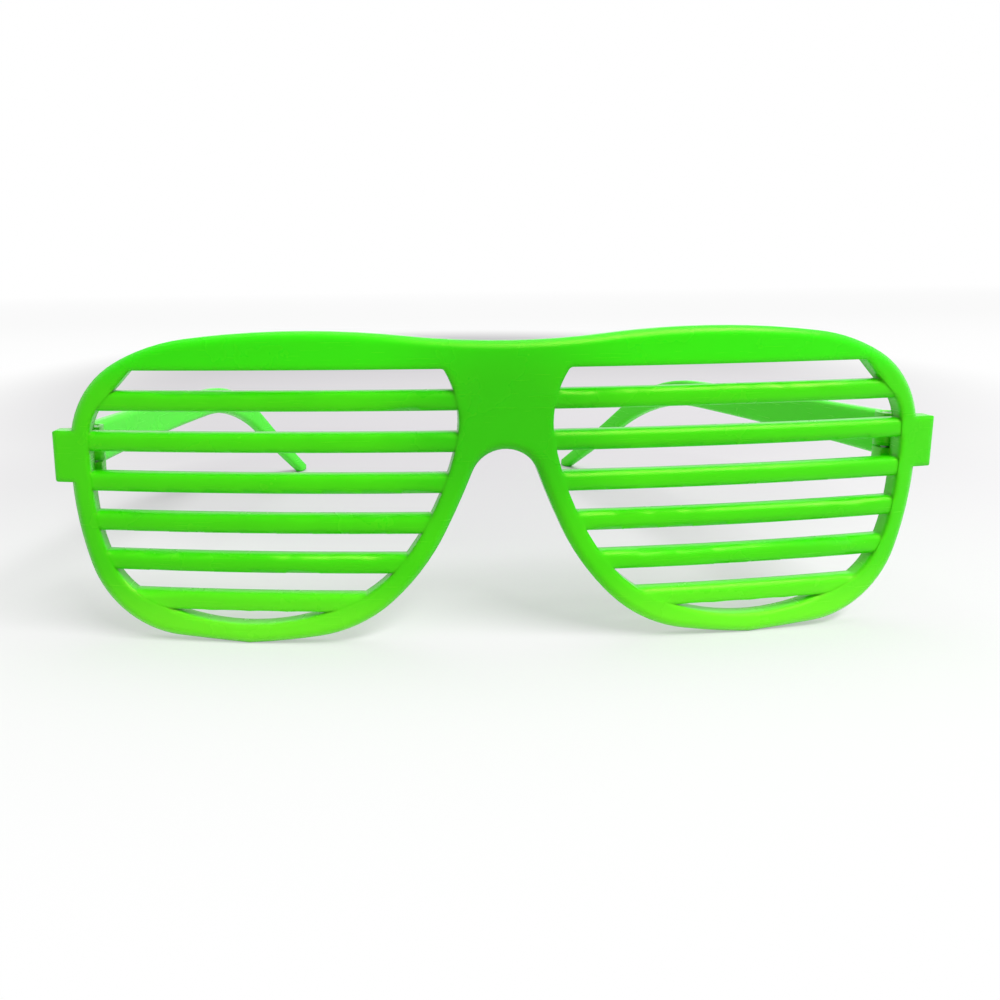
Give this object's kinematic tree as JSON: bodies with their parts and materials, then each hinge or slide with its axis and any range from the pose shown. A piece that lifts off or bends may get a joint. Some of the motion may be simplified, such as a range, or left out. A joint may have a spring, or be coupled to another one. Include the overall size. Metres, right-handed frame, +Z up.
{
  "type": "slatted novelty glasses",
  "caption": "Novelty glasses with a curved front of horizontal slats instead of lenses, and arms that fold on small hinge screws.",
  "frame": {"origin": "on the surface that the glasses stand on, in the middle of the box that holds them", "axes": "+X towards the wearer's left, +Y back along the arms, away from the front, +Z up"},
  "size_m": [0.1486, 0.1426, 0.052],
  "materials": {
    "moulded_plastic": "glossy lime green",
    "screw_steel": "plain steel"
  },
  "bodies": {
    "front": {"front_frame": "moulded_plastic", "hinge_screw_left": "screw_steel", "hinge_screw_right": "screw_steel"},
    "left_arm": {"temple_left": "moulded_plastic"},
    "right_arm": {"temple_right": "moulded_plastic"}
  },
  "joints": [
    {"name": "left_arm_fold", "type": "hinge", "parent": "front", "child": "left_arm", "pos_m": [0.06932, -0.0579, 0.0316], "axis": [0, 0, 1], "range_deg": [0, 79]},
    {"name": "right_arm_fold", "type": "hinge", "parent": "front", "child": "right_arm", "pos_m": [-0.06932, -0.0579, 0.0316], "axis": [0, 0, -1], "range_deg": [0, 75]}
  ]
}
